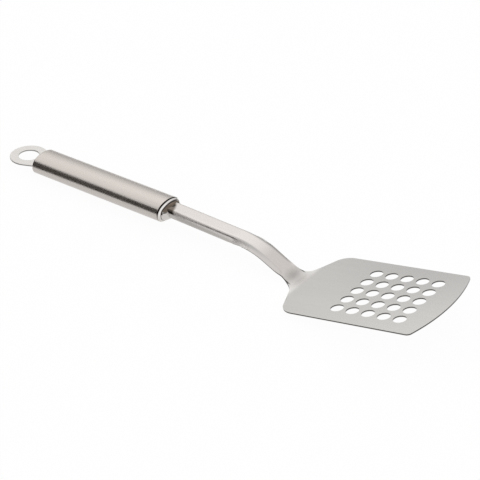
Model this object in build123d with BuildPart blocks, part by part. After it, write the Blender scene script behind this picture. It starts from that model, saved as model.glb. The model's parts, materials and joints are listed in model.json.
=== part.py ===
from build123d import *
import os
from math import asin, atan2, cos, degrees, hypot, radians, sin, sqrt, tan

# Fish spatula, lying at rest on its handle's rear end and on the heel under its blade.
# Millimetres and degrees. X runs towards the blade, Y across it, Z up from the table.

# Sheet and blade
sheet_thickness = 1.0
blade_width = 68.5
front_reach = 40.4
front_radius = 104.0
front_corner_radius = 3.0
root_behind_crease = 0.9
shoulder_radius = 10.5
shoulder_sweep = 22.5
neck_fillet_radius = 9.5

# Drain holes, a square grid centred on the blade's own origin
hole_diameter = 8.0
hole_pitch = 10.5
hole_count_side = 5

# The line that the sheet's top surface follows, from the blade to the handle
crease_reach = 62.0
crease_radius = 12.5
rise_angle = 40.0
rise_height = 23.4
bend_radius = 57.0
shank_angle = 14.0
shank_length = 65.1
tang_length = 22.0

# Shank, pressed into an open channel: flat top, rolled corners, two flanges
channel_flat_half_width = 3.88
channel_corner_arc = 1.885
channel_flange = 3.46
blank_flange = 1.1
flat_neck_length = 4.89
channel_finish_length = 2.8

# Handle tube: an oval of four arcs
handle_width = 21.5
handle_height = 13.4
handle_side_radius = 5.7
handle_wall = 1.0
handle_length = 104.4
handle_angle = 12.5
shank_top_above_axis = 4.3

# End caps: a hollow plug inside the tube, then a lip and a domed face outside it
plug_depth = 8.0
cap_wall = 1.2
front_lip_length = 1.6
front_groove_width = 0.4
front_lip_bevel = 1.3
front_dome_step = 0.3
front_dome_height = 4.3
rear_dome_height = 0.9
fit_clearance = 0.02

# Hanging eye
eye_thickness = 1.0
eye_radius = 12.4
eye_hole_radius = 6.75
eye_reach = 12.6
eye_taper_angle = 22.0
eye_tang_half_width = 7.0
eye_tang_length = 9.0

# How far the channel is folded, from the flat sheet (0) to the full shank (1):
# place along the run, share of a right angle, share of the full flange
fold_shares = (
    (0.00, 0.01, 0.00),
    (0.06, 0.13, 0.10),
    (0.12, 0.20, 0.17),
    (0.27, 0.23, 0.23),
    (0.42, 0.25, 0.29),
    (0.55, 0.31, 0.36),
    (0.68, 0.40, 0.48),
    (0.80, 0.63, 0.64),
    (0.92, 0.96, 0.90),
    (1.00, 1.00, 1.00),
)
# Where a dome has its sections: share of its height, share of its base's size
dome_shares = (
    (0.00, 1.00),
    (0.25, 0.94),
    (0.50, 0.83),
    (0.72, 0.67),
    (0.88, 0.47),
    (0.97, 0.24),
    (1.00, 0.08),
)

# Side view, in the blade's own frame: origin on the blade's top, over the grid's centre
rise_run = rise_height / tan(radians(rise_angle))
handle_front_x = -(crease_reach + rise_run + shank_length * cos(radians(shank_angle)))
handle_front_z = rise_height + shank_length * sin(radians(shank_angle)) - shank_top_above_axis
handle_rear_x = handle_front_x - handle_length * cos(radians(handle_angle))
handle_rear_z = handle_front_z + handle_length * sin(radians(handle_angle))
eye_centre_x = handle_rear_x - eye_reach * cos(radians(handle_angle))
eye_centre_z = handle_rear_z + eye_reach * sin(radians(handle_angle))
tang_end_x = handle_front_x - tang_length * cos(radians(shank_angle))
tang_end_z = rise_height + (shank_length + tang_length) * sin(radians(shank_angle))

# Distances along the sheet from the crease, where the channel starts and where it is full
crease_tangent = crease_radius * tan(radians(rise_angle) / 2)
bend_turn = radians(rise_angle - shank_angle)
bend_end = rise_height / sin(radians(rise_angle)) + bend_radius * (bend_turn - tan(bend_turn / 2))
channel_starts_at = crease_tangent + flat_neck_length
channel_full_at = bend_end + channel_finish_length

# Rest: the table touches the round heel under the crease and the handle's rear edge
heel_x = crease_tangent - crease_reach
heel_radius = crease_radius + sheet_thickness
foot_x = handle_rear_x - handle_height / 2 * sin(radians(handle_angle))
foot_z = handle_rear_z - handle_height / 2 * cos(radians(handle_angle))
foot_span = hypot(foot_x - heel_x, foot_z - crease_radius)
foot_rise = atan2(foot_z - crease_radius, heel_x - foot_x)
rest_tilt = degrees(foot_rise + asin(heel_radius / foot_span))
handle_tilt = rest_tilt - handle_angle

# The row's origin is on the table, under the middle of the whole part
tilt_cos = cos(radians(rest_tilt))
tilt_sin = sin(radians(rest_tilt))
front_x = front_reach * tilt_cos + sheet_thickness * tilt_sin
eye_x = eye_centre_x * tilt_cos - eye_centre_z * tilt_sin
rear_x = eye_x - eye_radius * cos(radians(handle_tilt)) - eye_thickness / 2 * sin(radians(handle_tilt))
origin_x = -(front_x + rear_x) / 2
origin_z = heel_radius - heel_x * tilt_sin - crease_radius * tilt_cos

blade_direction = Vector(tilt_cos, 0, tilt_sin)
blade_normal = Vector(-tilt_sin, 0, tilt_cos)
handle_direction = Vector(cos(radians(handle_tilt)), 0, sin(radians(handle_tilt)))
handle_normal = Vector(-sin(radians(handle_tilt)), 0, cos(radians(handle_tilt)))
blade_origin = Vector(origin_x, 0, origin_z)
handle_front_point = blade_origin + blade_direction * handle_front_x + blade_normal * handle_front_z
handle_rear_point = handle_front_point - handle_direction * handle_length
side_view = Plane(origin=blade_origin, x_dir=blade_direction, z_dir=(0, -1, 0))
blade_plan = Plane(origin=blade_origin, x_dir=blade_direction, z_dir=blade_normal)
handle_front = Plane(origin=handle_front_point, x_dir=(0, 1, 0), z_dir=handle_direction)
handle_rear = Plane(origin=handle_rear_point, x_dir=(0, 1, 0), z_dir=-handle_direction)
eye_plane = Plane(
    origin=handle_rear_point - handle_direction * eye_reach,
    x_dir=handle_direction,
    z_dir=handle_normal,
)

# Plan view of the blade
neck_half_width = channel_flat_half_width + channel_corner_arc + blank_flange
neck_end = crease_reach + channel_starts_at * cos(radians(rise_angle)) + sheet_thickness
root_reach = crease_reach + root_behind_crease
shoulder_reach = root_reach - (blade_width / 2 - neck_half_width) * tan(radians(shoulder_sweep))
front_sagitta = front_radius - sqrt(front_radius**2 - (blade_width / 2) ** 2)

# The line of the sheet's top surface in side view, from the tang's end to the crease
with BuildLine(side_view) as sheet_line:
    FilletPolyline(
        (tang_end_x, tang_end_z),
        (-crease_reach - rise_run, rise_height),
        (-crease_reach, 0),
        radius=bend_radius,
    )
spine = sheet_line.wire()


def spine_plane(distance):
    """The plane square to the sheet, at a distance along it from the crease, facing the blade."""
    along = spine.length - distance
    return Plane(
        origin=spine.position_at(along, position_mode=PositionMode.LENGTH),
        x_dir=(0, 1, 0),
        z_dir=spine.tangent_at(along, position_mode=PositionMode.LENGTH),
    )


def channel_section(fold_share, flange_share, growth):
    """The sheet's cross-section, flat in the middle with its edges rolled down, its top at zero.

    The fold is a share of a right angle, and growth makes the section that much fuller all round."""
    fold = radians(90 * fold_share)
    flange = blank_flange + (channel_flange - blank_flange) * flange_share + growth
    middle_radius = channel_corner_arc / fold
    centre = (channel_flat_half_width, -sheet_thickness / 2 - middle_radius)
    with BuildSketch() as section:
        with BuildLine():
            outer = CenterArc(centre, middle_radius + sheet_thickness / 2 + growth, 90, -degrees(fold))
            inner = CenterArc(centre, middle_radius - sheet_thickness / 2 - growth, 90, -degrees(fold))
            flange_run = Vector(cos(fold), -sin(fold)) * flange
            outer_flange = Line(outer @ 1, outer @ 1 + flange_run)
            inner_flange = Line(inner @ 1, inner @ 1 + flange_run)
            Line(outer_flange @ 1, inner_flange @ 1)
            Line((0, growth), outer @ 0)
            Line((0, -sheet_thickness - growth), inner @ 0)
            mirror(about=Plane.YZ)
        make_face()
    return section.sketch


def oval(size_share, inset):
    """The handle's oval of four arcs, with its outline moved in by inset and then scaled."""
    half_width = handle_width / 2 - inset
    half_height = handle_height / 2 - inset
    side_radius = handle_side_radius - inset
    arc_gap = half_height - side_radius
    crown_radius = (half_width**2 - 2 * half_width * side_radius + half_height**2) / (2 * arc_gap)
    side_span = degrees(atan2(crown_radius - half_height, half_width - side_radius))
    with BuildSketch() as outline:
        with BuildLine():
            CenterArc((half_width - side_radius, 0), side_radius, -side_span, 2 * side_span)
            CenterArc((0, half_height - crown_radius), crown_radius, side_span, 180 - 2 * side_span)
            CenterArc((side_radius - half_width, 0), side_radius, 180 - side_span, 2 * side_span)
            CenterArc((0, crown_radius - half_height), crown_radius, 180 + side_span, 180 - 2 * side_span)
        make_face()
        scale(by=size_share)
    return outline.sketch


# Blade, crease, rise, shank and tang: one pressed sheet
with BuildPart() as blade_and_neck:
    with BuildSketch(side_view):
        with BuildLine():
            FilletPolyline(
                (
                    -crease_reach - channel_starts_at * cos(radians(rise_angle)),
                    channel_starts_at * sin(radians(rise_angle)),
                ),
                (-crease_reach, 0),
                (front_reach, 0),
                radius=crease_radius,
            )
            offset(amount=sheet_thickness, side=Side.RIGHT)
        make_face()
    extrude(amount=blade_width, both=True)
    with BuildSketch(blade_plan):
        with BuildLine():
            edge = FilletPolyline(
                (-neck_end, neck_half_width),
                (-root_reach, neck_half_width),
                (-shoulder_reach, blade_width / 2),
                (front_reach - front_sagitta, blade_width / 2),
                radius=(neck_fillet_radius, shoulder_radius),
            )
            mirror(about=Plane.XZ)
            Line((-neck_end, -neck_half_width), edge @ 0)
            front_corner = edge @ 1
            ThreePointArc(front_corner, (front_reach, 0), (front_corner.X, -front_corner.Y))
        plan = make_face()
        fillet(plan.vertices().sort_by(Axis.X)[-2:], radius=front_corner_radius)
    extrude(amount=rise_height, both=True, mode=Mode.INTERSECT)
    with BuildSketch(blade_plan):
        with GridLocations(hole_pitch, hole_pitch, hole_count_side, hole_count_side):
            Circle(hole_diameter / 2)
    extrude(amount=rise_height, both=True, mode=Mode.SUBTRACT)
    for run_share, fold_share, flange_share in fold_shares:
        with BuildSketch(spine_plane(channel_starts_at + (channel_full_at - channel_starts_at) * run_share)):
            add(channel_section(fold_share, flange_share, 0))
    loft()
    with BuildSketch(spine_plane(channel_full_at)):
        add(channel_section(fold_shares[-1][1], fold_shares[-1][2], 0))
    extrude(amount=channel_full_at - spine.length)

# Handle: an oval tube from the groove behind the front cap's lip to the rear end
with BuildPart() as handle_tube:
    with BuildSketch(handle_front.offset(-front_lip_length - front_groove_width)):
        add(oval(1, 0))
        add(oval(1, handle_wall), mode=Mode.SUBTRACT)
    extrude(amount=front_lip_length + front_groove_width - handle_length)

# Front cap: plug, bevelled lip and dome, with a slot that fits the shank
with BuildPart() as front_end_cap:
    with BuildSketch(handle_front):
        add(oval(1, handle_wall + fit_clearance))
    extrude(amount=-front_lip_length - front_groove_width - plug_depth)
    with BuildSketch(handle_front.offset(-front_lip_length)):
        add(oval(1, 0))
    with BuildSketch(handle_front):
        add(oval(1, front_lip_bevel))
    loft()
    for height_share, size_share in dome_shares:
        with BuildSketch(handle_front.offset(front_dome_height * height_share)):
            add(oval(size_share, front_lip_bevel + front_dome_step))
    loft()
    with BuildSketch(handle_front):
        add(oval(1, handle_wall + fit_clearance + cap_wall))
    extrude(amount=-front_lip_length - front_groove_width - plug_depth, mode=Mode.SUBTRACT)
    with BuildSketch(spine_plane(channel_full_at)):
        add(channel_section(fold_shares[-1][1], fold_shares[-1][2], fit_clearance))
    extrude(amount=channel_full_at - spine.length, mode=Mode.SUBTRACT)

# Rear cap: plug and low dome, with a slot that fits the eye's tang
with BuildPart() as rear_end_cap:
    with BuildSketch(handle_rear):
        add(oval(1, handle_wall + fit_clearance))
    extrude(amount=-plug_depth)
    for height_share, size_share in dome_shares:
        with BuildSketch(handle_rear.offset(rear_dome_height * height_share)):
            add(oval(size_share, 0))
    loft()
    with BuildSketch(handle_rear.offset(-cap_wall)):
        add(oval(1, handle_wall + fit_clearance + cap_wall))
    extrude(amount=-plug_depth, mode=Mode.SUBTRACT)
    with BuildSketch(handle_rear):
        Rectangle(2 * (eye_tang_half_width + fit_clearance), eye_thickness + 2 * fit_clearance)
    extrude(amount=plug_depth, both=True, mode=Mode.SUBTRACT)

# Hanging eye: a stamped ring whose sides taper to a tang in the rear cap
taper_angle = radians(eye_taper_angle)
touch_x = eye_radius * sin(taper_angle)
touch_y = eye_radius * cos(taper_angle)
neck_x = eye_reach - rear_dome_height
neck_y = touch_y - (neck_x - touch_x) * tan(taper_angle)
with BuildPart() as hanging_eye:
    with BuildSketch(eye_plane):
        Circle(eye_radius)
        with BuildLine():
            Polyline(
                (touch_x, -touch_y),
                (neck_x, -neck_y),
                (neck_x, -eye_tang_half_width),
                (neck_x + eye_tang_length, -eye_tang_half_width),
                (neck_x + eye_tang_length, eye_tang_half_width),
                (neck_x, eye_tang_half_width),
                (neck_x, neck_y),
                (touch_x, touch_y),
                close=True,
            )
        make_face()
        Circle(eye_hole_radius, mode=Mode.SUBTRACT)
    extrude(amount=eye_thickness / 2, both=True)

blade_and_neck.part.label = "blade_and_neck"
handle_tube.part.label = "handle_tube"
front_end_cap.part.label = "front_end_cap"
rear_end_cap.part.label = "rear_end_cap"
hanging_eye.part.label = "hanging_eye"

os.makedirs("parts", exist_ok=True)
for piece in (blade_and_neck, handle_tube, front_end_cap, rear_end_cap, hanging_eye):
    export_step(piece.part, f"parts/{piece.part.label}.step")
    box = piece.part.bounding_box()
    print(piece.part.label, round(piece.part.volume, 1), box.min, box.max)
print("tilt of the blade", round(rest_tilt, 2), "and of the handle", round(handle_tilt, 2))
print("eye centre", eye_plane.origin, "normal", eye_plane.z_dir)
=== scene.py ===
# %% [markdown]
# # A fish spatula in polished and brushed steel
#
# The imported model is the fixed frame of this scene. It gives the places and the sizes, and each
# of its five nodes is then replaced by a finer piece that stays in the same space. The frame's
# units are metres, and the pieces are drawn in millimetres in their own plane and placed last.

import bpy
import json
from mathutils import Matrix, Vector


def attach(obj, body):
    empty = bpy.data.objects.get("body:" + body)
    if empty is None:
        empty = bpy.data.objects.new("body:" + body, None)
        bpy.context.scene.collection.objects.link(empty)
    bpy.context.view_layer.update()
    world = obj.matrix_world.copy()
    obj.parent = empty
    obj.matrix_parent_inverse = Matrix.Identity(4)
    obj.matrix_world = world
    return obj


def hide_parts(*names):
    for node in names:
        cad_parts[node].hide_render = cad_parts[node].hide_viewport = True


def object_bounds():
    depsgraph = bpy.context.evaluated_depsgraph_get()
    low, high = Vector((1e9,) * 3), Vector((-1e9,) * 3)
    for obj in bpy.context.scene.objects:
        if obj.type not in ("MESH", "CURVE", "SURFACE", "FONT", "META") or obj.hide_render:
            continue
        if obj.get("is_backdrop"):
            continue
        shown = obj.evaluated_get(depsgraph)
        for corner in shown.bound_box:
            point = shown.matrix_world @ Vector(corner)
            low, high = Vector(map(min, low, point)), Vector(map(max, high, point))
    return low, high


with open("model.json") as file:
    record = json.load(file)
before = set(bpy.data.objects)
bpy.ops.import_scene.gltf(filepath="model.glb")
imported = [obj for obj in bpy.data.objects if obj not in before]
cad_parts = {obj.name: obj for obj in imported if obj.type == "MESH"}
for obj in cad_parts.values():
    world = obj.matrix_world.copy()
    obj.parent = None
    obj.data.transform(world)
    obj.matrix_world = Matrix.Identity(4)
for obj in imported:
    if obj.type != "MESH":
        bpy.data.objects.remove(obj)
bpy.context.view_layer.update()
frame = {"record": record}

# %% The tools that the cells use
import json
from math import atan2, cos, pi, radians, sin, sqrt, tan

import bmesh
import bpy
from mathutils import Matrix, Vector

# %% [markdown]
# ## Two planes to draw in
#
# The tool lies on the table on two points, so neither its blade nor its handle is level. The two
# mounts of the record say where each of them is and which way it faces. A matrix made from a
# place and an up direction lets us draw each piece as if it lay flat, which is far easier than
# drawing it tilted, and then puts it where it belongs.

# %% Place the blade's plane and the handle's plane
MILLIMETRE = 0.001
GRID_CENTRE_AHEAD = 40.0
EYE_REACH = 12.6


def standing(origin, up):
    """The matrix from millimetres, X forwards and Z along up, to the frame's metres."""
    forward = Vector((0, 1, 0)).cross(up).normalized()
    turn = Matrix((forward, Vector((0, 1, 0)), up)).transposed().to_4x4()
    return Matrix.Translation(origin) @ turn @ Matrix.Scale(MILLIMETRE, 4)


mounts = {mount["name"]: mount for mount in frame["record"]["mounts"]}
blade_up = Vector(mounts["blade_top"]["axis"]).normalized()
handle_up = Vector(mounts["hanging_hole"]["axis"]).normalized()
from_blade = standing(Vector(mounts["blade_top"]["pos_m"]), blade_up)
from_blade = from_blade @ Matrix.Translation((GRID_CENTRE_AHEAD, 0, 0))
from_handle = standing(Vector(mounts["hanging_hole"]["pos_m"]), handle_up)
from_handle = from_handle @ Matrix.Translation((EYE_REACH, 0, 0))
print("grid centre:", [round(x, 4) for x in from_blade.translation])
print("handle's rear end:", [round(x, 4) for x in from_handle.translation])

# %% [markdown]
# ## Brushed steel for the handle
#
# The handle was rubbed lengthwise with an abrasive belt, which left very fine lines along it.
# Real metal has no colour of its own in the way that paint has: it shows what it reflects. So
# the base colour is only a warm grey, and the finish is made of roughness and of a faint bump.
# Noise that is stretched along the piece gives the lines. Two scales are mixed, because one
# alone looks like a printed pattern. The lines follow each piece as it was drawn, from the
# places that its points keep, so they run round the bend of the neck and do not break there.

# %% Make the steels
COLOUR, ROUGHNESS = "Base Color", "Roughness"
NOISE_LOW, NOISE_HIGH = 0.3, 0.7
TONE_SWING, ROUGHNESS_SWING = 0.03, 0.15
RELIEF_DEPTH = 0.00002


def steel(name, colour, roughness, layers, bump):
    """A metal whose colour, roughness and bump follow layers of stretched noise.

    Each layer is (lines per millimetre along, across and down, and its share of the pattern)."""
    material = bpy.data.materials.new(name)
    material.use_nodes = True
    nodes, links = material.node_tree.nodes, material.node_tree.links
    shader = nodes["Principled BSDF"]
    shader.inputs["Metallic"].default_value = 1.0
    place = nodes.new("ShaderNodeAttribute")
    place.attribute_name = "drawn_at"
    total = None
    for scale, share in layers:
        mapping = nodes.new("ShaderNodeMapping")
        mapping.inputs["Scale"].default_value = scale
        links.new(place.outputs["Vector"], mapping.inputs["Vector"])
        noise = nodes.new("ShaderNodeTexNoise")
        noise.inputs["Scale"].default_value = 1.0
        noise.inputs["Detail"].default_value = 1.0
        links.new(mapping.outputs["Vector"], noise.inputs["Vector"])
        weigh = nodes.new("ShaderNodeMath")
        weigh.operation = "MULTIPLY"
        weigh.inputs[1].default_value = share
        links.new(noise.outputs["Fac"], weigh.inputs[0])
        if total is None:
            total = weigh.outputs[0]
        else:
            add = nodes.new("ShaderNodeMath")
            links.new(total, add.inputs[0])
            links.new(weigh.outputs[0], add.inputs[1])
            total = add.outputs[0]
    tone = nodes.new("ShaderNodeValToRGB")
    dark, light = tone.color_ramp.elements
    dark.position, light.position = NOISE_LOW, NOISE_HIGH
    dark.color = (*[c * (1 - TONE_SWING) for c in colour], 1)
    light.color = (*[c * (1 + TONE_SWING) for c in colour], 1)
    links.new(total, tone.inputs["Fac"])
    links.new(tone.outputs["Color"], shader.inputs[COLOUR])
    spread = nodes.new("ShaderNodeMapRange")
    spread.inputs["From Min"].default_value = NOISE_LOW
    spread.inputs["From Max"].default_value = NOISE_HIGH
    spread.inputs["To Min"].default_value = roughness * (1 - ROUGHNESS_SWING)
    spread.inputs["To Max"].default_value = roughness * (1 + ROUGHNESS_SWING)
    links.new(total, spread.inputs["Value"])
    links.new(spread.outputs["Result"], shader.inputs[ROUGHNESS])
    relief = nodes.new("ShaderNodeBump")
    relief.inputs["Strength"].default_value = bump
    relief.inputs["Distance"].default_value = RELIEF_DEPTH
    links.new(total, relief.inputs["Height"])
    links.new(relief.outputs["Normal"], shader.inputs["Normal"])
    print(name, "made of", len(layers), "layers of lines")
    return material


def patch(material, socket, centre, radii, value, softness):
    """Changes a metal's colour or roughness inside an ellipsoid, fading over its outer part.

    The mix node keeps its colours in sockets 6 and 7 and its numbers in sockets 2 and 3."""
    nodes, links = material.node_tree.nodes, material.node_tree.links
    target = nodes["Principled BSDF"].inputs[socket]
    before = target.links[0].from_socket
    place = nodes.new("ShaderNodeAttribute")
    place.attribute_name = "drawn_at"
    mapping = nodes.new("ShaderNodeMapping")
    mapping.inputs["Location"].default_value = [-c / r for c, r in zip(centre, radii)]
    mapping.inputs["Scale"].default_value = [1 / r for r in radii]
    distance = nodes.new("ShaderNodeVectorMath")
    distance.operation = "LENGTH"
    fade = nodes.new("ShaderNodeMapRange")
    fade.interpolation_type = "SMOOTHSTEP"
    fade.inputs["From Min"].default_value = 1.0
    fade.inputs["From Max"].default_value = 1.0 - softness
    mix = nodes.new("ShaderNodeMix")
    if socket == COLOUR:
        mix.data_type = "RGBA"
        first, second, result, value = 6, 7, 2, (*value, 1)
    else:
        first, second, result = 2, 3, 0
    mix.inputs[second].default_value = value
    links.new(place.outputs["Vector"], mapping.inputs["Vector"])
    links.new(mapping.outputs["Vector"], distance.inputs[0])
    links.new(distance.outputs["Value"], fade.inputs["Value"])
    links.new(fade.outputs["Result"], mix.inputs[0])
    links.new(before, mix.inputs[first])
    links.new(mix.outputs[result], target)


ALONG_THE_TUBE = [((0.04, 1.1, 1.1), 0.5), ((0.015, 0.35, 0.35), 0.5)]
ALONG_THE_SHEET = [((0.03, 1.3, 0), 0.6), ((0.012, 0.32, 0), 0.4)]
FAINT_CLOUDS = [((0.09, 0.09, 0.09), 0.5), ((0.03, 0.7, 0.7), 0.5)]
brushed = steel("brushed_tube_steel", (0.535, 0.498, 0.468), 0.27, ALONG_THE_TUBE, 0.05)
pressed = steel("pressed_sheet_steel", (0.60, 0.59, 0.574), 0.16, ALONG_THE_SHEET, 0.05)
polished = steel("polished_cap_steel", (0.60, 0.57, 0.545), 0.12, FAINT_CLOUDS, 0.03)
stamped = steel("stamped_plate_steel", (0.64, 0.625, 0.605), 0.20, FAINT_CLOUDS, 0.05)

# %% [markdown]
# ### Where the pressed sheet looks different
#
# One sheet does not look the same all over. The neck is polished a little warmer than the
# blade, and painted shade darkens the blade towards its far side. The press dulls the sheet
# along the crease, and painted shade darkens the crease and the rise just behind it. The rolled
# sides of the shank are rough and painted darker as shade, with three thin dark lines along them
# and painted shade beside a painted highlight where they twist in the bend. The sheared walls of
# the holes and of the outline are painted dark as shade. Where the shank enters the cap, a
# painted dark brown reflection and painted shade in the seam's corners darken it. The places
# are along the sheet, across it and down into it, in millimetres from the middle of the holes.
# A later finish lies over an earlier one.

# %% Add the sheet's local finishes and its painted shade and highlights
SIDES = (-1, 1)
# the neck is warmer than the blade, painted shade darkens the blade towards its far side, the
# crease is duller, and painted shade darkens the crease and the rise just behind it
sheet_finishes_and_painted_light = [
    (COLOUR, (-130, 0, 0), (68, 60, 5), (0.60, 0.57, 0.55), 0.15),
    (COLOUR, (10, 50, 0), (95, 85, 5), (0.49, 0.48, 0.47), 1.0),
    (ROUGHNESS, (-64.5, 0, 0), (7.5, 16, 5), 0.34, 0.8),
    (COLOUR, (-61.2, 0, 0), (5, 15, 5), (0.43, 0.415, 0.40), 1.0),
    (COLOUR, (-66.8, 0, 0), (6.5, 10, 5), (0.43, 0.41, 0.395), 1.0),
]
# the rolled sides, rough and painted darker as shade, their rounded edge, the part that twists
# in the bend with painted shade beside a painted highlight, and three thin dark lines along them
for side in SIDES:
    sheet_finishes_and_painted_light += [
        (COLOUR, (-165, side * 9.8, 0), (95, 3.6, 5), (0.52, 0.495, 0.475), 0.4),
        (ROUGHNESS, (-165, side * 9.8, 0), (95, 3.6, 5), 0.42, 0.4),
        (ROUGHNESS, (-170, side * 5.6, 0), (85, 2.2, 5), 0.5, 0.6),
        (ROUGHNESS, (-155, side * 5.6, 0), (26, 2.0, 5), 0.8, 0.8),
        (ROUGHNESS, (-103, side * 8.5, 0), (10, 4.5, 5), 0.7, 0.4),
        (COLOUR, (-98, side * 5.0, 0), (18, 2.2, 5), (0.46, 0.45, 0.44), 1.0),
        (COLOUR, (-103, side * 8.5, 0), (11, 3.2, 5), (0.85, 0.83, 0.81), 0.8),
    ]
    for across in (7.2, 8.0, 8.8):
        dark_side_line = (-150, side * across, 0), (50, 0.28, 5), (0.33, 0.31, 0.295), 1.0
        sheet_finishes_and_painted_light.append((COLOUR, *dark_side_line))
# painted shade: the sheared walls of the blade and of the neck, and the edges beside the crease
sheet_finishes_and_painted_light += [
    (COLOUR, (0, 0, 0.5), (400, 400, 0.4), (0.10, 0.094, 0.088), 0.2),
    (COLOUR, (-120, 0, 0.5), (65, 60, 0.49), (0.06, 0.056, 0.052), 0.1),
]
for side in SIDES:
    shade_beside_crease = (-66.5, side * 7.8, 0), (4.0, 0.75, 5), (0.08, 0.075, 0.07), 0.7
    sheet_finishes_and_painted_light.append((COLOUR, *shade_beside_crease))
# a painted dark brown reflection at the cap, the near side left bright, and painted shade in
# the seam's two black corners
sheet_finishes_and_painted_light += [
    (COLOUR, (-172, -11, 0), (18, 22, 9), (0.15, 0.127, 0.107), 0.12),
    (COLOUR, (-160, -9.6, 0), (9, 3.2, 5), (0.56, 0.535, 0.515), 0.3),
    (COLOUR, (-158.5, -6.2, 0), (5, 1.1, 3), (0.03, 0.026, 0.022), 0.6),
    (COLOUR, (-160.2, 0.3, 0), (2.4, 2.6, 3), (0.015, 0.013, 0.011), 0.6),
]
for finish in sheet_finishes_and_painted_light:
    patch(pressed, *finish)
print("the sheet's steel has", len(sheet_finishes_and_painted_light), "local finishes")

# %% [markdown]
# ### The welded end of the handle, and the eye's rim
#
# The shank is welded into the front cap. The cap's face is painted dark brown and grey above
# the shank's lower edge as the dark reflection it shows, with painted shade nearly black in the
# corner beside the seam, and it is left bright below it. The lip carries a painted highlight, a
# bright ring between two grooves painted dark as shade. The eye's rim is painted darker than its
# faces as shade. These places are all from the middle of the handle's rear end.

# %% Paint the cap's reflection, highlight and shade, the grooves' shade and the eye's rim shade
# painted shade that darkens the grooves
PAINTED_GROOVE_SHADE = (0.05, 0.045, 0.04)
# painted reflection: the brown face; painted shade: its black corner; painted highlight: the
# bright lip; painted shade: the inner groove, the outer one on both sides of the gap, and the
# eye's rim
for metal, *finish in (
    (polished, (106, 0, 6.4), (7, 20, 4.3), (0.135, 0.107, 0.084), 0.12),
    (polished, (105.4, -6.4, 2.3), (2.4, 3.4, 0.6), (0.04, 0.035, 0.03), 0.6),
    (polished, (103.65, 0, 6), (0.62, 30, 8.5), (0.82, 0.80, 0.78), 0.4),
    (polished, (104.4, 0, 6), (0.4, 30, 7), (0.12, 0.105, 0.095), 0.4),
    (polished, (102.85, 0, 8), (0.5, 40, 10), PAINTED_GROOVE_SHADE, 0.4),
    (brushed, (102.3, 0, 8), (0.5, 40, 10), PAINTED_GROOVE_SHADE, 0.4),
    # painted shade: the eye's rim is darker than its faces
    (stamped, (0, 0, 0), (60, 60, 0.36), (0.26, 0.25, 0.24), 0.2),
):
    patch(metal, COLOUR, *finish)
print("the cap's steel has", len(polished.node_tree.nodes), "nodes")

# %% [markdown]
# ## Turning a drawing into a piece
#
# Every piece ends the same way. Edges that turn sharply are marked as sharp, so that shading
# stays crisp there and smooth elsewhere, and then the mesh is moved to its place, tied to the
# frame's only body, and the node that it stands for is hidden.

# %% A helper that finishes a piece
SHARP_TURN = radians(32)


def finish_piece(bm, name, node, material, place, drawn_at=lambda point: point):
    """Shades and places the mesh, and makes it a piece that replaces a node.

    Each point keeps the place where it was drawn, in millimetres, for the material's lines."""
    for edge in bm.edges:
        if len(edge.link_faces) == 2 and edge.calc_face_angle() > SHARP_TURN:
            edge.smooth = False
    layer = bm.verts.layers.float_vector.new("drawn_at")
    for vert in bm.verts:
        vert[layer] = drawn_at(vert.co)
    bmesh.ops.transform(bm, matrix=place, verts=bm.verts)
    mesh = bpy.data.meshes.new(name)
    open_edges = sum(1 for edge in bm.edges if len(edge.link_faces) != 2)
    bm.to_mesh(mesh)
    bm.free()
    mesh.materials.append(material)
    piece = bpy.data.objects.new(name, mesh)
    bpy.context.scene.collection.objects.link(piece)
    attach(piece, "root")
    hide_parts(node)
    mesh.calc_loop_triangles()
    print(name, "has", len(mesh.loop_triangles), "triangles and", open_edges, "open edges")


# %% [markdown]
# ## The handle's oval
#
# The handle's cross-section is an oval of four arcs: two tight ones at the sides and two wide
# ones above and below. An ellipse would be too pointed at its sides. Four spins draw it, each
# going on from where the last one ended, and a scale makes the smaller ovals of the domes.

# %% Draw one oval
HANDLE_WIDTH, HANDLE_HEIGHT, SIDE_RADIUS = 21.5, 13.4, 5.7
STEPS_PER_ARC = 28
DOUBLE = 0.0005


def oval_loop(bm, x, inset=0.0, share=1.0):
    """The oval at x, moved in by inset and scaled by share, as a closed loop of edges."""
    old_verts, old_edges = set(bm.verts), set(bm.edges)
    half_width, half_height = HANDLE_WIDTH / 2 - inset, HANDLE_HEIGHT / 2 - inset
    radius = SIDE_RADIUS - inset
    gap = half_height - radius
    crown = (half_width**2 - 2 * half_width * radius + half_height**2) / (2 * gap)
    span = atan2(crown - half_height, half_width - radius)
    side, drop = half_width - radius, crown - half_height
    end = bm.verts.new((x, side + radius * cos(span), -radius * sin(span)))
    arcs = (
        ((x, side, 0), 2 * span),
        ((x, 0, -drop), pi - 2 * span),
        ((x, -side, 0), 2 * span),
        ((x, 0, drop), pi - 2 * span),
    )
    for centre, angle in arcs:
        spun = bmesh.ops.spin(
            bm, geom=[end], cent=centre, axis=(1, 0, 0), angle=angle, steps=STEPS_PER_ARC
        )
        end = [item for item in spun["geom_last"] if isinstance(item, bmesh.types.BMVert)][0]
    verts = [vert for vert in bm.verts if vert not in old_verts]
    bmesh.ops.remove_doubles(bm, verts=verts, dist=DOUBLE)
    verts = [vert for vert in bm.verts if vert not in old_verts]
    bmesh.ops.scale(bm, vec=(1, share, share), verts=verts)
    return [edge for edge in bm.edges if edge not in old_edges]


def oval_skin(stations, closed):
    """Ovals at the stations joined into one skin: a ring if closed, else shut at both ends."""
    bm = bmesh.new()
    loops = [oval_loop(bm, *station) for station in stations]
    pairs = list(zip(loops, loops[1:]))
    if closed:
        pairs.append((loops[-1], loops[0]))
    for back, front in pairs:
        bmesh.ops.bridge_loops(bm, edges=back + front)
    if not closed:
        for loop in (loops[0], loops[-1]):
            bmesh.ops.contextual_create(bm, geom=loop)
    for face in bm.faces:
        face.smooth = True
    bmesh.ops.recalc_face_normals(bm, faces=bm.faces)
    return bm


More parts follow.
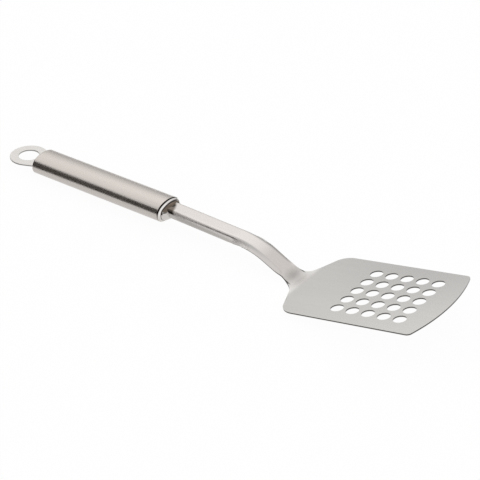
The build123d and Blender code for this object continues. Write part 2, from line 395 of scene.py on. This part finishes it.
# %% [markdown]
# ## The handle tube
#
# The tube is thin-walled and plain. Its two rims are slightly rounded by the brushing, and that
# small rounding is what catches the light at its ends. The short bands next to the rims hold
# the smooth shading of the long wall straight, which would otherwise lean towards the rims.

# %% Make the handle tube
TUBE_LENGTH = 102.4
TUBE_WALL = 1.0
RIM = 0.22
tube_stations = [
    (0.0, RIM),
    (0.3 * RIM, 0.3 * RIM),
    (RIM, 0.0),
    (4 * RIM, 0.0),
    (TUBE_LENGTH - 4 * RIM, 0.0),
    (TUBE_LENGTH - RIM, 0.0),
    (TUBE_LENGTH - 0.3 * RIM, 0.3 * RIM),
    (TUBE_LENGTH, RIM),
    (TUBE_LENGTH, TUBE_WALL),
    (0.0, TUBE_WALL),
]
finish_piece(
    oval_skin(tube_stations, closed=True),
    "brushed_handle_tube", "handle_tube", brushed, from_handle,
)

# %% [markdown]
# ## The two end caps
#
# Both caps are plugs that are pushed into the tube. The front one shows a thin dark groove, a
# bright bevelled lip and then a polished dome that the shank enters. The rear one is a flat
# brushed end with a crisp rim. A dome is a row of ovals that shrink as a curve says. The curve
# is steep at the rim and flat at the middle, like a worn coin and not like half a ball.

# %% Make the end caps
LIP_BACK, LIP_FRONT, LIP_BEVEL = 102.8, 104.4, 1.3
DOME_BASE_INSET, DOME_HEIGHT = 1.6, 4.3
PLUG_INSET, PLUG_DEPTH = 1.02, 8.0
LIP_EDGE_BACK, LIP_EDGE_OUT = 0.15, 0.22
GROOVE_DEPTH, GROOVE_BACK_SLOPE, GROOVE_FRONT_SLOPE = 0.45, 0.06, 0.04
REAR_DOME_HEIGHT, REAR_RIM_INSET = 0.9, 0.3
DOME_STEPS = 14
DOME_POWER, DOME_CLOSES = 1.75, 0.995
# the lip's round back, as places ahead of it and insets
LIP_PROFILE = ((0.0, 0.18), (0.06, 0.05), (0.2, 0.0), (0.35, 0.1))


def dome(start, height, inset):
    """Stations of a dome that begins at start and rises by height, which may be negative."""
    stations = []
    for step in range(1, DOME_STEPS + 1):
        rise = sin(DOME_CLOSES * pi / 2 * step / DOME_STEPS)
        stations.append((start + height * rise, inset, sqrt(1 - rise**DOME_POWER)))
    return stations


front_stations = [(LIP_BACK - PLUG_DEPTH, PLUG_INSET), (LIP_BACK, PLUG_INSET)]
front_stations += [(LIP_BACK + ahead, inset) for ahead, inset in LIP_PROFILE]
front_stations += [
    (LIP_FRONT - LIP_EDGE_BACK, LIP_BEVEL - LIP_EDGE_OUT),
    (LIP_FRONT, LIP_BEVEL),
    (LIP_FRONT - GROOVE_DEPTH, LIP_BEVEL + GROOVE_BACK_SLOPE),
    (LIP_FRONT - GROOVE_DEPTH, DOME_BASE_INSET - GROOVE_FRONT_SLOPE),
    (LIP_FRONT, DOME_BASE_INSET),
]
front_stations += dome(LIP_FRONT, DOME_HEIGHT, DOME_BASE_INSET)
finish_piece(
    oval_skin(front_stations, closed=False),
    "polished_front_cap", "front_end_cap", polished, from_handle,
)
rear_stations = [(PLUG_DEPTH, PLUG_INSET), (0.0, PLUG_INSET), (0.0, REAR_RIM_INSET)]
rear_stations += dome(0.0, -REAR_DOME_HEIGHT, REAR_RIM_INSET)
finish_piece(
    oval_skin(rear_stations, closed=False),
    "brushed_rear_cap", "rear_end_cap", brushed, from_handle,
)

# %% [markdown]
# ## The hanging eye
#
# The eye is stamped from plate, so it is an outline with a hole, given a thickness, with edges
# that the press and the tumbler have rounded. A spin draws the round end, two straight sides
# taper to the handle, and a fill closes the shape between the outline and the hole.

# %% Helpers for flat plates
EDGE_SEGMENTS, ROUND_PROFILE = 3, 0.5
RIM_TURN = radians(60)
EYE_RIM, SHEET_RIM = 0.22, 0.2


def polyline(bm, points):
    """Joins points in the drawing plane with edges."""
    verts = [bm.verts.new((*point, 0)) for point in points]
    for pair in zip(verts, verts[1:]):
        bm.edges.new(pair)


def round_rims(bm, width):
    """Bevels every edge that turns by more than the least turn of a rim."""
    rims = [
        edge
        for edge in bm.edges
        if len(edge.link_faces) == 2 and edge.calc_face_angle() > RIM_TURN
    ]
    bmesh.ops.bevel(
        bm, geom=rims, offset=width, offset_type="OFFSET", segments=EDGE_SEGMENTS,
        profile=ROUND_PROFILE, affect="EDGES", clamp_overlap=True, material=-1, loop_slide=True,
    )


# %% Make the hanging eye
EYE_RADIUS, EYE_HOLE_RADIUS, EYE_THICKNESS = 12.4, 6.75, 1.0
EYE_TAPER = radians(22)
TANG_HALF_WIDTH, TANG_LENGTH = 7.0, 9.0
EYE_ARC_STEPS = 72
touch = Vector((EYE_RADIUS * sin(EYE_TAPER), EYE_RADIUS * cos(EYE_TAPER)))
neck_x = EYE_REACH - REAR_DOME_HEIGHT
neck_y = touch.y - (neck_x - touch.x) * tan(EYE_TAPER)

bm = bmesh.new()
first = bm.verts.new((touch.x, touch.y, 0))
bmesh.ops.spin(
    bm, geom=[first], cent=(0, 0, 0), axis=(0, 0, 1), angle=2 * pi - 2 * atan2(touch.y, touch.x),
    steps=EYE_ARC_STEPS,
)
polyline(
    bm,
    [
        (touch.x, -touch.y), (neck_x, -neck_y), (neck_x, -TANG_HALF_WIDTH),
        (neck_x + TANG_LENGTH, -TANG_HALF_WIDTH), (neck_x + TANG_LENGTH, TANG_HALF_WIDTH),
        (neck_x, TANG_HALF_WIDTH), (neck_x, neck_y), (touch.x, touch.y),
    ],
)
bmesh.ops.create_circle(bm, cap_ends=False, radius=EYE_HOLE_RADIUS, segments=EYE_ARC_STEPS)
bmesh.ops.remove_doubles(bm, verts=bm.verts, dist=DOUBLE)
bmesh.ops.triangle_fill(bm, use_beauty=True, use_dissolve=False, edges=bm.edges, normal=(0, 0, 1))
bmesh.ops.recalc_face_normals(bm, faces=bm.faces)
bmesh.ops.solidify(bm, geom=bm.faces[:], thickness=EYE_THICKNESS)
low, high = min(v.co.z for v in bm.verts), max(v.co.z for v in bm.verts)
bmesh.ops.translate(bm, vec=(0, 0, -(low + high) / 2), verts=bm.verts)
bmesh.ops.recalc_face_normals(bm, faces=bm.faces)
round_rims(bm, EYE_RIM)
bmesh.ops.translate(bm, vec=(-EYE_REACH, 0, 0), verts=bm.verts)
finish_piece(bm, "stamped_hanging_eye", "hanging_eye", stamped, from_handle)

# %% [markdown]
# ## The blade, the neck and the shank are one sheet
#
# One sheet of steel was cut, pierced and pressed. The blade is flat with 25 round holes. Behind
# a tight crease the sheet rises steeply, narrows and bends back, and its edges roll down until
# it is a stiff channel. We follow the same order. The blade's outline and holes are drawn flat
# and filled, and behind it the crease, the neck and the shank start as one plain grid, whose
# points are moved along the bend line and folded down at the sides.

# %% Sizes of the sheet
SHEET = 1.0
BLADE_HALF_WIDTH, FRONT_REACH, FRONT_RADIUS, FRONT_CORNER = 34.25, 40.4, 104.0, 3.0
ROOT_REACH, SHOULDER_SWEEP, SHOULDER_RADIUS, NECK_FILLET = 62.9, radians(22.5), 10.5, 9.5
HOLE_RADIUS, HOLE_PITCH, HOLE_COUNT = 4.0, 10.5, 5
CREASE_REACH, CREASE_RADIUS, RISE_ANGLE, RISE_HEIGHT = 62.0, 12.5, radians(40), 23.4
BEND_RADIUS, SHANK_ANGLE, SHANK_LENGTH, TANG = 57.0, radians(14), 65.1, 22.0
FLAT_HALF, CORNER_ARC, FULL_FLANGE, BLANK_FLANGE = 3.88, 1.885, 3.46, 1.1
FLAT_NECK, CHANNEL_FINISH = 4.89, 2.8
LEAST_SHARE = 0.01
# place along the folding run, share of a right angle, share of the full flange
FOLD_SHARES = (
    (0.00, LEAST_SHARE, 0.00), (0.06, 0.13, 0.10), (0.12, 0.20, 0.17), (0.27, 0.23, 0.23),
    (0.42, 0.25, 0.29), (0.55, 0.31, 0.36), (0.68, 0.40, 0.48), (0.80, 0.63, 0.64),
    (0.92, 0.96, 0.90), (1.00, 1.00, 1.00),
)
crease_tangent = CREASE_RADIUS * tan(RISE_ANGLE / 2)
bend_turn = RISE_ANGLE - SHANK_ANGLE
rise_length = RISE_HEIGHT / sin(RISE_ANGLE)
bend_starts = rise_length - BEND_RADIUS * tan(bend_turn / 2)
bend_ends = bend_starts + BEND_RADIUS * bend_turn
channel_starts = crease_tangent + FLAT_NECK
channel_full = bend_ends + CHANNEL_FINISH
sheet_ends = bend_ends + SHANK_LENGTH + TANG - BEND_RADIUS * tan(bend_turn / 2)
neck_half_width = FLAT_HALF + CORNER_ARC + BLANK_FLANGE
print("the channel folds from", round(channel_starts, 1), "to", round(channel_full, 1), "mm")

# %% [markdown]
# ### The bend line and the fold
#
# Two small functions hold the whole shape of the neck. The first walks along the sheet's top in
# side view: straight up the rise, round the bend, and straight along the shank. The second says
# how far the edges are rolled down at that point. Between the listed places it eases in and out,
# so that reflections run through without a kink.

# %% Functions for the bend line and the fold


def bend_line(distance):
    """The point on the sheet's top in side view, and the slope there, at a distance."""
    if distance <= bend_starts:
        run, slope = distance, RISE_ANGLE
        return -CREASE_REACH - run * cos(slope), run * sin(slope), slope
    start = (-CREASE_REACH - bend_starts * cos(RISE_ANGLE), bend_starts * sin(RISE_ANGLE))
    turned = min(distance, bend_ends) - bend_starts
    slope = RISE_ANGLE - turned / BEND_RADIUS
    x = start[0] - BEND_RADIUS * (sin(RISE_ANGLE) - sin(slope))
    z = start[1] + BEND_RADIUS * (cos(slope) - cos(RISE_ANGLE))
    beyond = max(0.0, distance - bend_ends)
    return x - beyond * cos(slope), z + beyond * sin(slope), slope


def fold_at(distance):
    """Shares of the right angle and of the flange, at a distance along the sheet."""
    place = (distance - channel_starts) / (channel_full - channel_starts)
    place = min(max(place, 0.0), 1.0)
    for index in range(len(FOLD_SHARES) - 1):
        (start, *low), (end, *high) = FOLD_SHARES[index:index + 2]
        if place <= end:
            break
    before = FOLD_SHARES[max(index - 1, 0)]
    after = FOLD_SHARES[min(index + 2, len(FOLD_SHARES) - 1)]
    t = (place - start) / (end - start)
    shares = []
    for k in range(len(low)):
        leave = (high[k] - before[k + 1]) / (end - before[0]) * (end - start)
        arrive = (after[k + 1] - low[k]) / (after[0] - start) * (end - start)
        value = (2 * t**3 - 3 * t**2 + 1) * low[k] + (t**3 - 2 * t**2 + t) * leave
        value += (3 * t**2 - 2 * t**3) * high[k] + (t**3 - t**2) * arrive
        shares.append(min(max(value, LEAST_SHARE), 1.0))
    return shares


def channel_point(distance, across):
    """The point of the sheet's top at a distance, across going from -1 to 1 over its width."""
    fold_share, flange_share = fold_at(distance)
    fold = pi / 2 * fold_share
    radius = CORNER_ARC / fold + SHEET / 2
    side = 1 if across > 0 else -1
    part = abs(across)
    if part <= COLUMN_FLAT:
        y, z = FLAT_HALF * part / COLUMN_FLAT, 0.0
    else:
        angle = fold * min((part - COLUMN_FLAT) / (COLUMN_ARC - COLUMN_FLAT), 1)
        y, z = FLAT_HALF + radius * sin(angle), radius * (cos(angle) - 1)
        flange = BLANK_FLANGE + (FULL_FLANGE - BLANK_FLANGE) * flange_share
        run = flange * max(part - COLUMN_ARC, 0) / (1 - COLUMN_ARC)
        y, z = y + run * cos(fold), z - run * sin(fold)
    x0, z0, slope = bend_line(distance)
    return Vector((x0 + z * sin(slope), side * y, z0 + z * cos(slope)))


# %% [markdown]
# ### Rows and columns of the shank's grid
#
# The grid begins a little in front of the crease, where the sheet is still flat and wide, and
# ends inside the handle. Rows are close together where the sheet bends and far apart where it
# is straight. Columns are close together where the edges roll down. Its width in front of the
# channel comes from the blade's outline: a straight shoulder and then a round inner corner.

# %% Plan the grid
COLUMNS_FLAT, COLUMNS_ARC, COLUMNS_FLANGE = 4, 8, 3
half_columns = COLUMNS_FLAT + COLUMNS_ARC + COLUMNS_FLANGE
COLUMN_FLAT = COLUMNS_FLAT / half_columns
COLUMN_ARC = (COLUMNS_FLAT + COLUMNS_ARC) / half_columns
GRID_STARTS = -56.0
CREASE_ROWS, RISE_ROWS, CHANNEL_ROWS = 14, 4, 46
END_GAP = 1.0
root_turn = pi / 2 - SHOULDER_SWEEP
fillet_x = -ROOT_REACH - NECK_FILLET * tan(root_turn / 2)
arc_starts = crease_tangent - CREASE_REACH
joint_x = bend_line(channel_starts)[0]


def half_width_at(x):
    """Half the sheet's width at x, behind the blade's shoulders."""
    if x > fillet_x + NECK_FILLET * sin(root_turn):
        return neck_half_width + (x + ROOT_REACH) * tan(root_turn)
    ahead = max(x - fillet_x, 0.0)
    return neck_half_width + NECK_FILLET - sqrt(NECK_FILLET**2 - ahead**2)


def height_at(x):
    """How high the sheet's top is at x, from the flat blade through the crease to the rise."""
    back = arc_starts - x
    if back <= 0:
        return 0.0
    if back <= CREASE_RADIUS * sin(RISE_ANGLE):
        return CREASE_RADIUS - sqrt(CREASE_RADIUS**2 - back**2)
    return (-CREASE_REACH - x) * tan(RISE_ANGLE)


plan_rows = [GRID_STARTS, (GRID_STARTS + arc_starts) / 2, arc_starts]
for step in range(1, CREASE_ROWS + 1):
    plan_rows.append(arc_starts - CREASE_RADIUS * sin(RISE_ANGLE * step / CREASE_ROWS))
rise_gap = (joint_x - plan_rows[-1]) / RISE_ROWS
plan_rows += [plan_rows[-1] + rise_gap * step for step in range(1, RISE_ROWS)]
run = channel_full - channel_starts
channel_rows = [channel_starts + run * step / CHANNEL_ROWS for step in range(CHANNEL_ROWS + 1)]
channel_rows += [channel_full + END_GAP, sheet_ends - END_GAP, sheet_ends]


def sheet_point(row, across):
    """The point of the sheet's top in a row of the grid, across from -1 to 1."""
    if row < len(plan_rows):
        x = plan_rows[row]
        spread = channel_point(channel_starts, across).y / neck_half_width
        return Vector((x, spread * half_width_at(x), height_at(x)))
    return channel_point(channel_rows[row - len(plan_rows)], across)


print(len(plan_rows) + len(channel_rows), "rows and", 2 * half_columns + 1, "columns")

# %% Make the grid and move its points
bm = bmesh.new()
row_count = len(plan_rows) + len(channel_rows)
grid = bmesh.ops.create_grid(
    bm, x_segments=row_count - 1, y_segments=2 * half_columns, size=1.0
)
print("grid points:", len(grid["verts"]), "of", row_count * (2 * half_columns + 1))
for vert in grid["verts"]:
    row = round((vert.co.x + 1) / 2 * (row_count - 1))
    vert.co = sheet_point(row, vert.co.y)

# %% [markdown]
# ### The flat blade
#
# The blade's outline is walked with a pen: a straight line, or an arc by a spin about its
# centre. Its rear edge has the same points as the grid's first row, so that the two meet. The
# shoulders and the front corners are round, and the front edge is a very shallow arc.

# %% Walk the blade's outline
FILL_ARC_STEPS, FRONT_STEPS, HOLE_SEGMENTS = 14, 40, 48


def draw_line(bm, end, x, y):
    """Goes on from the end vertex to a point, and returns the new end."""
    vert = bm.verts.new((x, y, 0))
    bm.edges.new((end, vert))
    return vert


def draw_arc(bm, end, centre, angle, steps):
    """Goes on from the end vertex about a centre, and returns the new end."""
    spun = bmesh.ops.spin(
        bm, geom=[end], cent=(*centre, 0), axis=(0, 0, 1), angle=angle, steps=steps
    )
    return [item for item in spun["geom_last"] if isinstance(item, bmesh.types.BMVert)][0]


columns = range(-half_columns, half_columns + 1)
rear_points = [sheet_point(0, column / half_columns) for column in columns]
arc_reach = SHOULDER_RADIUS * tan(root_turn / 2)
shoulder_x = -ROOT_REACH + (BLADE_HALF_WIDTH - neck_half_width) * tan(SHOULDER_SWEEP)
shoulder_centre = (shoulder_x + arc_reach, BLADE_HALF_WIDTH - SHOULDER_RADIUS)
front_centre_x = FRONT_REACH - FRONT_RADIUS
corner_y = BLADE_HALF_WIDTH - FRONT_CORNER
corner_x = front_centre_x + sqrt((FRONT_RADIUS - FRONT_CORNER) ** 2 - corner_y**2)
front_half_angle = atan2(corner_y, corner_x - front_centre_x)
corner_turn = pi / 2 - front_half_angle

outline_edges = set(bm.edges)
pen = bm.verts.new(rear_points[0])
for point in rear_points[1:]:
    pen = draw_line(bm, pen, point.x, point.y)
tangent = (shoulder_x - arc_reach * cos(root_turn), BLADE_HALF_WIDTH - arc_reach * sin(root_turn))
pen = draw_line(bm, pen, *tangent)
pen = draw_arc(bm, pen, shoulder_centre, -root_turn, FILL_ARC_STEPS)
pen = draw_line(bm, pen, corner_x, BLADE_HALF_WIDTH)
pen = draw_arc(bm, pen, (corner_x, corner_y), -corner_turn, FILL_ARC_STEPS)
pen = draw_arc(bm, pen, (front_centre_x, 0), -2 * front_half_angle, FRONT_STEPS)
pen = draw_arc(bm, pen, (corner_x, -corner_y), -corner_turn, FILL_ARC_STEPS)
pen = draw_line(bm, pen, shoulder_centre[0], -BLADE_HALF_WIDTH)
pen = draw_arc(bm, pen, (shoulder_centre[0], -shoulder_centre[1]), -root_turn, FILL_ARC_STEPS)
pen = draw_line(bm, pen, rear_points[0].x, rear_points[0].y)
print("the pen comes back to", [round(x, 3) for x in pen.co])

# %% [markdown]
# ### Holes, thickness and edges
#
# The 25 drain holes are circles in a square grid. A fill closes the sheet between the outline
# and the circles, the doubled points along the joint are merged, and the whole sheet is given
# its thickness downwards. Its rims are then rounded a little, as the tumbler leaves them.

# %% Pierce, fill and thicken the sheet
FACES_UP = 0.99999
first_hole = -HOLE_PITCH * (HOLE_COUNT - 1) / 2
for index in range(HOLE_COUNT**2):
    x = first_hole + HOLE_PITCH * (index // HOLE_COUNT)
    y = first_hole + HOLE_PITCH * (index % HOLE_COUNT)
    bmesh.ops.create_circle(
        bm, cap_ends=False, radius=HOLE_RADIUS, segments=HOLE_SEGMENTS,
        matrix=Matrix.Translation((x, y, 0)),
    )
drawn = [edge for edge in bm.edges if edge not in outline_edges]
drawn_verts = list(dict.fromkeys(vert for edge in drawn for vert in edge.verts))
bmesh.ops.remove_doubles(bm, verts=drawn_verts, dist=DOUBLE)
drawn = [edge for edge in bm.edges if edge not in outline_edges]
bmesh.ops.triangle_fill(bm, use_beauty=True, use_dissolve=False, edges=drawn, normal=(0, 0, 1))
bmesh.ops.remove_doubles(bm, verts=bm.verts, dist=DOUBLE)
print("loose edges inside the sheet:", sum(1 for edge in bm.edges if not edge.link_faces))
bmesh.ops.recalc_face_normals(bm, faces=bm.faces)
if sum(face.normal.z * face.calc_area() for face in bm.faces) < 0:
    bmesh.ops.reverse_faces(bm, faces=bm.faces)
bmesh.ops.solidify(bm, geom=bm.faces[:], thickness=SHEET)
heights = [vert.co.z for vert in bm.verts if vert.co.x > 0]
print("the blade reaches from", round(min(heights), 3), "to", round(max(heights), 3), "mm")
bmesh.ops.recalc_face_normals(bm, faces=bm.faces)
round_rims(bm, SHEET_RIM)
for face in bm.faces:
    flat = abs(face.normal.z) > FACES_UP and face.calc_center_median().x > GRID_STARTS
    face.smooth = not flat

# %% [markdown]
# ### Where each point of the sheet was before bending
#
# The steel's drawn lines, its local finishes and its painted shade and highlights belong to the
# flat blank, so each point needs its place there. A few rounds find the nearest place on the
# bend line. Then the fold is rolled out, which gives the place across the blank and the depth
# into it. The sheared walls, painted dark as shade, lie at the depths between the two faces,
# and that is how the material finds them.

# %% Roll the sheet out and finish it
UNROLLING_ROUNDS = 5
arc_ends = arc_starts - CREASE_RADIUS * sin(RISE_ANGLE)


def unrolled(point):
    """Where a point of the sheet lay before bending: along it, across it and down into it."""
    if point.x > -CREASE_REACH:
        return Vector((point.x, point.y, height_at(point.x) - point.z))
    distance = -CREASE_REACH - point.x
    for _ in range(UNROLLING_ROUNDS):
        x0, z0, slope = bend_line(distance)
        distance += (x0 - point.x) * cos(slope) + (point.z - z0) * sin(slope)
    x0, z0, slope = bend_line(distance)
    down = (x0 - point.x) * sin(slope) + (z0 - point.z) * cos(slope)
    if point.x > arc_ends:
        down += height_at(point.x) * cos(slope) + (CREASE_REACH + point.x) * sin(slope)
    across = abs(point.y)
    if distance > channel_starts and across > FLAT_HALF:
        fold = pi / 2 * fold_at(distance)[0]
        radius = CORNER_ARC / fold + SHEET / 2
        out, up = across - FLAT_HALF, radius - down
        angle = min(atan2(out, up), fold)
        across = FLAT_HALF + radius * angle + out * cos(angle) - up * sin(angle)
        down = radius - out * sin(angle) - up * cos(angle)
    side = 1 if point.y > 0 else -1
    return Vector((-CREASE_REACH - distance, side * across, down))


depths = [unrolled(vert.co).z for vert in bm.verts]
print("depth in the unrolled sheet from", round(min(depths), 2), "to", round(max(depths), 2), "mm")
finish_piece(
    bm, "pressed_blade_and_neck", "blade_and_neck", pressed, from_blade, drawn_at=unrolled
)

# %% [markdown]
# ## The stage
#
# The floor and the world are white, as in a product picture. Metal only looks like metal when
# it has something to reflect. A tall curved screen stands round the far side, dark at its foot,
# brightest at the height that the neck reflects, and dimmer to the right. A dark card leans
# towards the camera's left and makes the soft dark band along the handle. Only the metal sees
# them: the camera does not, and they neither light the floor nor shade it.

# %% Floor, light and camera


def staged(bm, name, colour, curves):
    """A staged surface whose glow is the product of curves over its own coordinates.

    Each curve is (axis, low, high, stops), with stops as (share of the way, strength)."""
    mesh = bpy.data.meshes.new(name)
    bm.to_mesh(mesh)
    bm.free()
    material = bpy.data.materials.new(name)
    material.use_nodes = True
    nodes, links = material.node_tree.nodes, material.node_tree.links
    nodes.remove(nodes["Principled BSDF"])
    glow = nodes.new("ShaderNodeEmission")
    glow.inputs["Color"].default_value = (*colour, 1)
    place = nodes.new("ShaderNodeTexCoord")
    axes = nodes.new("ShaderNodeSeparateXYZ")
    links.new(place.outputs["Object"], axes.inputs[0])
    strength = None
    for axis, low, high, stops in curves:
        share = nodes.new("ShaderNodeMapRange")
        share.inputs["From Min"].default_value = low
        share.inputs["From Max"].default_value = high
        ramp = nodes.new("ShaderNodeFloatCurve")
        points = ramp.mapping.curves[0].points
        while len(points) < len(stops):
            points.new(0.5, 0.5)
        for point, (x, y) in zip(points, stops):
            point.location = (x, y / 2)
            point.handle_type = "VECTOR"
        ramp.mapping.update()
        double = nodes.new("ShaderNodeMath")
        double.operation = "MULTIPLY"
        double.inputs[1].default_value = 2.0
        links.new(axes.outputs[axis], share.inputs["Value"])
        links.new(share.outputs["Result"], ramp.inputs["Value"])
        links.new(ramp.outputs["Value"], double.inputs[0])
        if strength is None:
            strength = double.outputs[0]
        else:
            times = nodes.new("ShaderNodeMath")
            times.operation = "MULTIPLY"
            links.new(strength, times.inputs[0])
            links.new(double.outputs[0], times.inputs[1])
            strength = times.outputs[0]
    links.new(strength, glow.inputs["Strength"])
    links.new(glow.outputs[0], nodes["Material Output"].inputs["Surface"])
    mesh.materials.append(material)
    made = bpy.data.objects.new(name, mesh)
    bpy.context.scene.collection.objects.link(made)
    made.visible_camera = False
    made.visible_diffuse = False
    made.visible_shadow = False
    made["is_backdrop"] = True


FLOOR_REACH, FLOOR_PAINT, FLOOR_GLOW = 3.0, 0.9, 0.95
bm = bmesh.new()
bmesh.ops.create_grid(bm, x_segments=1, y_segments=1, size=FLOOR_REACH)
floor_mesh = bpy.data.meshes.new("floor")
bm.to_mesh(floor_mesh)
bm.free()
floor = bpy.data.objects.new("floor", floor_mesh)
bpy.context.scene.collection.objects.link(floor)
white = bpy.data.materials.new("white_floor")
white.use_nodes = True
nodes, links = white.node_tree.nodes, white.node_tree.links
paint = nodes["Principled BSDF"]
paint.inputs[COLOUR].default_value = (FLOOR_PAINT, FLOOR_PAINT, FLOOR_PAINT, 1)
paint.inputs[ROUGHNESS].default_value = 1.0
paint.inputs["Specular IOR Level"].default_value = 0.0
glow = nodes.new("ShaderNodeEmission")
ray = nodes.new("ShaderNodeLightPath")
either = nodes.new("ShaderNodeMath")
either.operation = "MAXIMUM"
share = nodes.new("ShaderNodeMath")
share.operation = "MULTIPLY"
share.inputs[1].default_value = FLOOR_GLOW
mix = nodes.new("ShaderNodeMixShader")
links.new(ray.outputs["Is Camera Ray"], either.inputs[0])
links.new(ray.outputs["Is Glossy Ray"], either.inputs[1])
links.new(either.outputs[0], share.inputs[0])
links.new(share.outputs[0], mix.inputs[0])
links.new(paint.outputs[0], mix.inputs[1])
links.new(glow.outputs[0], mix.inputs[2])
links.new(mix.outputs[0], nodes["Material Output"].inputs["Surface"])
floor_mesh.materials.append(white)
floor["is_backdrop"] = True

world = bpy.data.worlds.new("studio")
bpy.context.scene.world = world
world.use_nodes = True
nodes = world.node_tree.nodes
nodes["Background"].inputs["Color"].default_value = (1, 1, 1, 1)
nodes["Background"].inputs["Strength"].default_value = 1.0
SCREEN_RADIUS, SCREEN_FOOT, SCREEN_HEIGHT = 1.6, 0.001, 2.6
SCREEN_STARTS, SCREEN_TURN, SCREEN_STEPS = radians(50), radians(152), 54
bm = bmesh.new()
foot_x, foot_y = SCREEN_RADIUS * sin(SCREEN_STARTS), SCREEN_RADIUS * cos(SCREEN_STARTS)
foot = bm.verts.new((foot_x, foot_y, SCREEN_FOOT))
top = bm.verts.new((foot_x, foot_y, SCREEN_HEIGHT))
post = bm.edges.new((foot, top))
bmesh.ops.spin(
    bm, geom=[foot, top, post], cent=(0, 0, 0), axis=(0, 0, 1), angle=SCREEN_TURN,
    steps=SCREEN_STEPS,
)
UP_THE_SCREEN = ((0, 0.15), (0.02, 0.3), (0.055, 0.52), (0.11, 0.72), (0.18, 0.88), (0.29, 1.1),
                 (0.42, 1.32), (0.68, 1.5), (1, 1.2))
FROM_THE_LEFT = ((0, 0.86), (0.1, 1.0), (0.22, 1.0), (0.3, 0.94), (0.42, 0.88), (0.5, 0.82),
                 (0.62, 0.67), (1, 0.6))
staged(bm, "far_screen", (1, 0.992, 0.985), [
    (2, 0.0, SCREEN_HEIGHT, UP_THE_SCREEN), (0, -SCREEN_RADIUS, SCREEN_RADIUS, FROM_THE_LEFT),
])
CARD_WIDTH, CARD_LENGTH, CARD_TOP, HALF = 0.62, 0.81, 0.59, 0.5
CARD_CENTRE = (-0.31, -0.263, 0.296)
CARD_LEAN = Matrix(((0.766, -0.440, -0.468), (-0.643, -0.524, -0.558), (0, 0.729, -0.685)))
UP_THE_CARD = ((0, 0.08), (0.8, 0.08), (1, 0.5))
bm = bmesh.new()
bmesh.ops.create_grid(bm, x_segments=1, y_segments=1, size=HALF)
bmesh.ops.scale(bm, vec=(CARD_WIDTH, CARD_LENGTH, 1), verts=bm.verts)
card_place = Matrix.Translation(CARD_CENTRE) @ CARD_LEAN.to_4x4()
bmesh.ops.transform(bm, matrix=card_place, verts=bm.verts)
staged(bm, "near_dark_card", (1, 0.93, 0.87), [(2, 0.0, CARD_TOP, UP_THE_CARD)])
bpy.context.scene.view_settings.view_transform = "Standard"

# %% [markdown]
# ## The camera
#
# The place, the direction and the lens come from fitting a camera to the 25 holes as they lie
# in the photo. They form a square grid, and its pitch is assumed to be 10.5 mm.

# %% Set the camera
CAMERA_PLACE = (0.48759, -0.661192, 0.561849)
LENS, SENSOR = 122.5, 36
look = Vector((-0.477649, 0.674926, -0.562429))
right = Vector((0.807513, 0.589455, 0.02157))
camera_data = bpy.data.cameras.new("camera")
camera = bpy.data.objects.new("camera", camera_data)
bpy.context.scene.collection.objects.link(camera)
camera_data.lens = LENS
camera_data.sensor_width = SENSOR
camera.rotation_mode = "QUATERNION"
camera.rotation_quaternion = Matrix((right, right.cross(look), -look)).transposed().to_quaternion()
camera.location = CAMERA_PLACE
bpy.context.scene.camera = camera

# %% [markdown]
# ## The visual box
#
# The finer pieces have to fill the same box as the imported model, so the box of the shown pieces
# is printed.

# %% Print the visual box
low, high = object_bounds()
print("visual box in mm:", [round(1000 * x, 1) for x in high - low])
